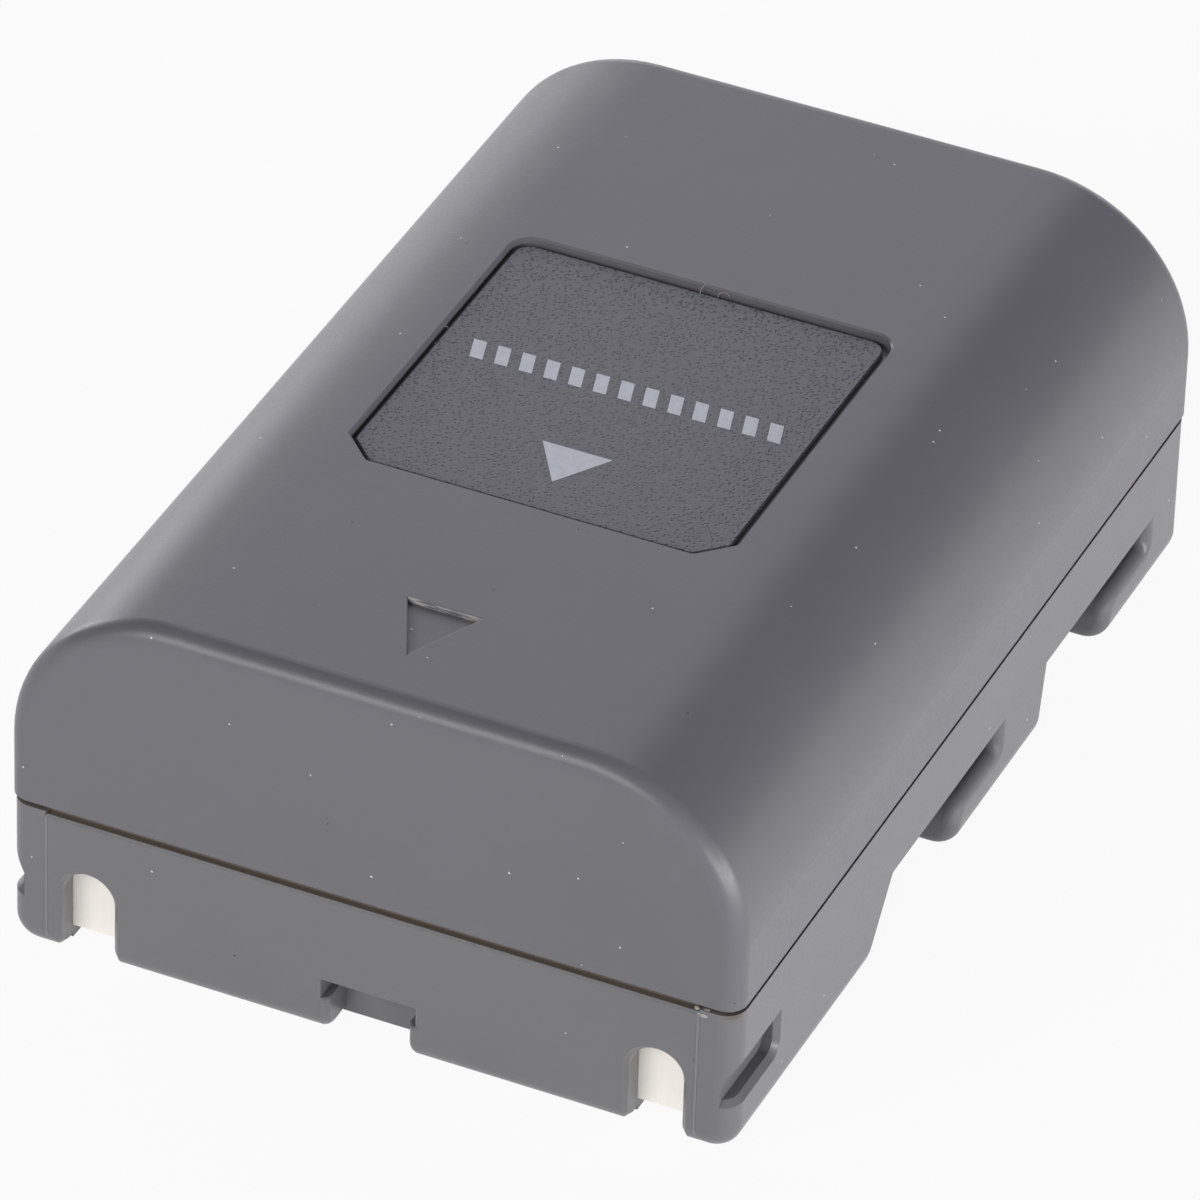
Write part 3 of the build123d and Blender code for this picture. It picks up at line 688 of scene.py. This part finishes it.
class BATTERY_OT_metal(bpy.types.Operator):
    """Give the contacts, the tabs and the strap their rolled nickel."""

    bl_idname = "battery.metal"
    bl_label = "Finish Metal"

    def execute(self, context):
        for name, code, streak, roughness, nodes in METAL_FINISHES:
            dress(rolled_metal(name, code, streak * MM, roughness), nodes)
        return {"FINISHED"}


class BATTERY_OT_inside(bpy.types.Operator):
    """Give the sealed inner pieces their finishes."""

    bl_idname = "battery.inside"
    bl_label = "Finish Inside"

    def execute(self, context):
        for name, code, grain, height, roughness, nodes in INSIDE_FINISHES:
            dress(grained(name, linear(code), grain * MM, height * MM, roughness), nodes)
        return {"FINISHED"}


class BATTERY_OT_traces(bpy.types.Operator):
    """Squeeze the weld flash out of the seam and lay the lint at the label's edge."""

    bl_idname = "battery.traces"
    bl_label = "Add Traces"

    def execute(self, context):
        look = context.scene.battery_trace
        shell = context.scene.battery_shell
        self.squeeze_flash(look, shell)
        self.lay_lint(look)
        return {"FINISHED"}

    def squeeze_flash(self, look, shell):
        """Lumps beside the right witness line, two in the seam and two smeared on the front."""
        corner = Vector((BASE_HIGH.x - shell.witness_inset, BASE_LOW.y, COVER_LOW.z - shell.seam))
        spread = look.flash_spread
        # Place of the middle from that corner and size of each lump, in widths of the largest one
        lumps = (
            (Vector((-0.35, 0.55, 0.2)), (0.7, 0.5, 0.5)),
            (Vector((0.0, 0.08, -0.06)), (0.4, 0.2, 0.25)),
            (Vector((0.75, 0.4, 0.35)), (1.0, 0.7, 0.4)),
            (Vector((0.55, 0.07, -0.2)), (1.0, 0.2, 0.5)),
        )
        pieces = []
        for index, (offset, size) in enumerate(lumps):
            place = corner + offset * spread
            start_piece()
            bpy.ops.mesh.primitive_ico_sphere_add(subdivisions=2, radius=spread / 2, location=place)
            bpy.ops.object.mode_set(mode="EDIT")
            bpy.ops.transform.vertex_random(offset=FLASH_UNEVENNESS * spread, seed=index + 1)
            bpy.ops.transform.resize(value=size, center_override=place)
            bpy.ops.object.mode_set(mode="OBJECT")
            smooth = bpy.context.object.modifiers.new("smooth", "SUBSURF")
            smooth.levels = FLASH_LEVELS
            smooth.render_levels = FLASH_LEVELS
            bpy.ops.object.modifier_apply(modifier=smooth.name)
            bpy.ops.object.shade_smooth()
            pieces.append(bpy.context.object)
        join_pieces(pieces)
        # Weld flash: remelted plastic, paler and glossier than the moulded wall
        remelted = grained(
            "remelted_abs", look.flash, grain=0.2 * MM, height=0.004 * MM, roughness=0.3)
        end_piece("weld_flash", remelted)

    def lay_lint(self, look):
        """Curled fibres over the edge of the label's recess."""
        edge = LABEL_HIGH.y
        side = LABEL_LOW.x
        height = COVER_HIGH.z - look.lint_radius - look.lint_thickness
        # Place of the middle, part of the curl's radius and turn about the vertical of each fibre
        fibres = (
            (Vector((-0.2 * MM, edge + 0.3 * MM, height)), 1.0, math.radians(75.0)),
            (Vector((0.9 * MM, edge + 0.2 * MM, height)), 0.9, math.radians(12.0)),
            (Vector((side - 0.15 * MM, 1.4 * MM, height)), 0.45, math.radians(40.0)),
        )
        pieces = []
        for place, part, turn in fibres:
            start_piece()
            radius = part * look.lint_radius
            upright = (math.radians(90.0), 0.0, turn)
            bpy.ops.mesh.primitive_circle_add(
                vertices=LINT_POINTS, radius=radius, location=place, rotation=upright)
            edit_vertices(lambda point: point.y < -LINT_END * radius)
            bpy.ops.mesh.delete(type="VERT")
            bpy.ops.object.mode_set(mode="OBJECT")
            bpy.ops.object.convert(target="CURVE")
            fibre = bpy.context.object
            fibre.data.bevel_depth = look.lint_thickness / 2
            fibre.data.bevel_resolution = 1
            fibre.data.use_fill_caps = True
            bpy.ops.object.convert(target="MESH")
            bpy.ops.object.shade_smooth()
            pieces.append(bpy.context.object)
        join_pieces(pieces)
        # Cotton lint: a thin dull thread that catches the light
        cotton = grained("cotton_lint", look.lint, grain=0.05 * MM, height=0.002 * MM, roughness=0.9)
        end_piece("lint", cotton)


class BATTERY_OT_stage(bpy.types.Operator):
    """Lay the floor, hang the lamps and set the camera."""

    bl_idname = "battery.stage"
    bl_label = "Set Stage"

    def execute(self, context):
        look = context.scene.battery_stage
        context.scene.view_settings.view_transform = "Standard"
        self.lay_floor(look)
        self.light_world(context.scene, look)
        self.hang_lamps(context.scene)
        self.set_camera(context.scene, look)
        return {"FINISHED"}

    def lay_floor(self, look):
        """A wide pale floor with a low wall, white to the eye and in reflections, with a soft shadow."""
        start_piece()
        level = CAD_BOX[0].z - look.floor_drop
        bpy.ops.mesh.primitive_plane_add(size=look.floor_size, location=(0.0, 0.0, level))
        bpy.ops.object.mode_set(mode="EDIT")
        bpy.ops.mesh.select_mode(type="EDGE")
        bpy.ops.mesh.select_all(action="SELECT")
        bpy.ops.mesh.extrude_edges_move(TRANSFORM_OT_translate={"value": (0.0, 0.0, look.wall_height)})
        bpy.ops.object.mode_set(mode="OBJECT")
        floor = bpy.context.object
        floor.name = "floor"
        # Matt paper: pale, and without a shine of its own
        material, tree = new_material("matt_paper")
        path = add_node(tree, "ShaderNodeLightPath")
        seen = add_node(tree, "ShaderNodeMath", {
            0: path.outputs["Is Camera Ray"], 1: path.outputs["Is Glossy Ray"]}, operation="MAXIMUM")
        seen_through = add_node(tree, "ShaderNodeMath", {
            0: seen.outputs["Value"], 1: path.outputs["Is Transmission Ray"]}, operation="MAXIMUM")
        white_share = add_node(tree, "ShaderNodeMath", {
            0: seen_through.outputs["Value"], 1: look.floor_white}, operation="MULTIPLY")
        matt = add_node(tree, "ShaderNodeBsdfDiffuse", {"Color": look.floor})
        white = add_node(tree, "ShaderNodeEmission", {"Color": WHITE, "Strength": 1.0})
        mixed = add_node(tree, "ShaderNodeMixShader", {
            0: white_share.outputs["Value"], 1: matt.outputs["BSDF"], 2: white.outputs["Emission"]})
        add_node(tree, "ShaderNodeOutputMaterial", {"Surface": mixed.outputs["Shader"]})
        floor.data.materials.append(material)

    def light_world(self, scene, look):
        """A faint light from all round."""
        world = bpy.data.worlds.new("studio")
        scene.world = world
        world.use_nodes = True
        tree = world.node_tree
        tree.nodes.clear()
        fill = add_node(tree, "ShaderNodeBackground", {"Color": WHITE, "Strength": look.fill})
        add_node(tree, "ShaderNodeOutputWorld", {"Surface": fill.outputs["Background"]})

    def hang_lamps(self, scene):
        """Soft boxes round the battery, each aimed at its middle."""
        for name, azimuth, elevation, width, height, power, code in LAMPS:
            away = outward(math.radians(azimuth), math.radians(elevation))
            lamp = bpy.data.lights.new(name, "AREA")
            lamp.shape = "RECTANGLE"
            lamp.size = width
            lamp.size_y = height
            lamp.energy = power
            lamp.color = linear(code)[:3]
            holder = bpy.data.objects.new(name, lamp)
            scene.collection.objects.link(holder)
            holder.location = MIDDLE + away * LAMP_DISTANCE
            holder.rotation_mode = "QUATERNION"
            holder.rotation_quaternion = facing(away)

    def set_camera(self, scene, look):
        """A long lens at the height and turn of the picture."""
        camera = bpy.data.objects.new("camera", bpy.data.cameras.new("camera"))
        scene.collection.objects.link(camera)
        camera.data.lens = look.lens
        camera.data.sensor_width = SENSOR_WIDTH
        camera.data.clip_start = 0.01
        camera.data.clip_end = 100.0
        away = outward(look.azimuth, look.elevation)
        camera.location = Vector(look.aim) + away * look.distance
        camera.rotation_mode = "QUATERNION"
        camera.rotation_quaternion = facing(away) @ Quaternion((0.0, 0.0, 1.0), look.roll)
        scene.camera = camera


# What the panel lists: the name of a group of sizes and colours, and the operators that use it
PANEL_ROWS = (
    ("battery_shell", ("battery.shells",)),
    ("battery_label", ("battery.label",)),
    (None, ("battery.metal", "battery.inside")),
    ("battery_trace", ("battery.traces",)),
    ("battery_stage", ("battery.stage",)),
)


class BATTERY_PT_panel(bpy.types.Panel):
    """The battery's finishes and its studio."""

    bl_label = "Camera Battery"
    bl_idname = "BATTERY_PT_panel"
    bl_space_type = "VIEW_3D"
    bl_region_type = "UI"
    bl_category = "Battery"

    def draw(self, context):
        for look, operators in PANEL_ROWS:
            box = self.layout.box()
            if look:
                group = getattr(context.scene, look)
                for name in group.bl_rna.properties.keys():
                    if name not in ("rna_type", "name"):
                        box.prop(group, name)
            for operator in operators:
                box.operator(operator)


LOOKS = (
    ("battery_shell", BatteryShellLook),
    ("battery_label", BatteryLabelLook),
    ("battery_trace", BatteryTraceLook),
    ("battery_stage", BatteryStageLook),
)

CLASSES = (
    BatteryShellLook,
    BatteryLabelLook,
    BatteryTraceLook,
    BatteryStageLook,
    BATTERY_OT_shells,
    BATTERY_OT_label,
    BATTERY_OT_metal,
    BATTERY_OT_inside,
    BATTERY_OT_traces,
    BATTERY_OT_stage,
    BATTERY_PT_panel,
)


def register():
    """Registers the classes and gives each scene its groups of sizes and colours."""
    for made in CLASSES:
        bpy.utils.register_class(made)
    for name, group in LOOKS:
        setattr(bpy.types.Scene, name, PointerProperty(type=group))


def unregister():
    """Takes away what register added, in the opposite order."""
    for name, _ in LOOKS:
        delattr(bpy.types.Scene, name)
    for made in reversed(CLASSES):
        bpy.utils.unregister_class(made)


def main():
    """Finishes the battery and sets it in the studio."""
    register()
    bpy.ops.battery.shells()
    bpy.ops.battery.label()
    bpy.ops.battery.metal()
    bpy.ops.battery.inside()
    bpy.ops.battery.traces()
    bpy.ops.battery.stage()


if __name__ == "__main__":
    main()
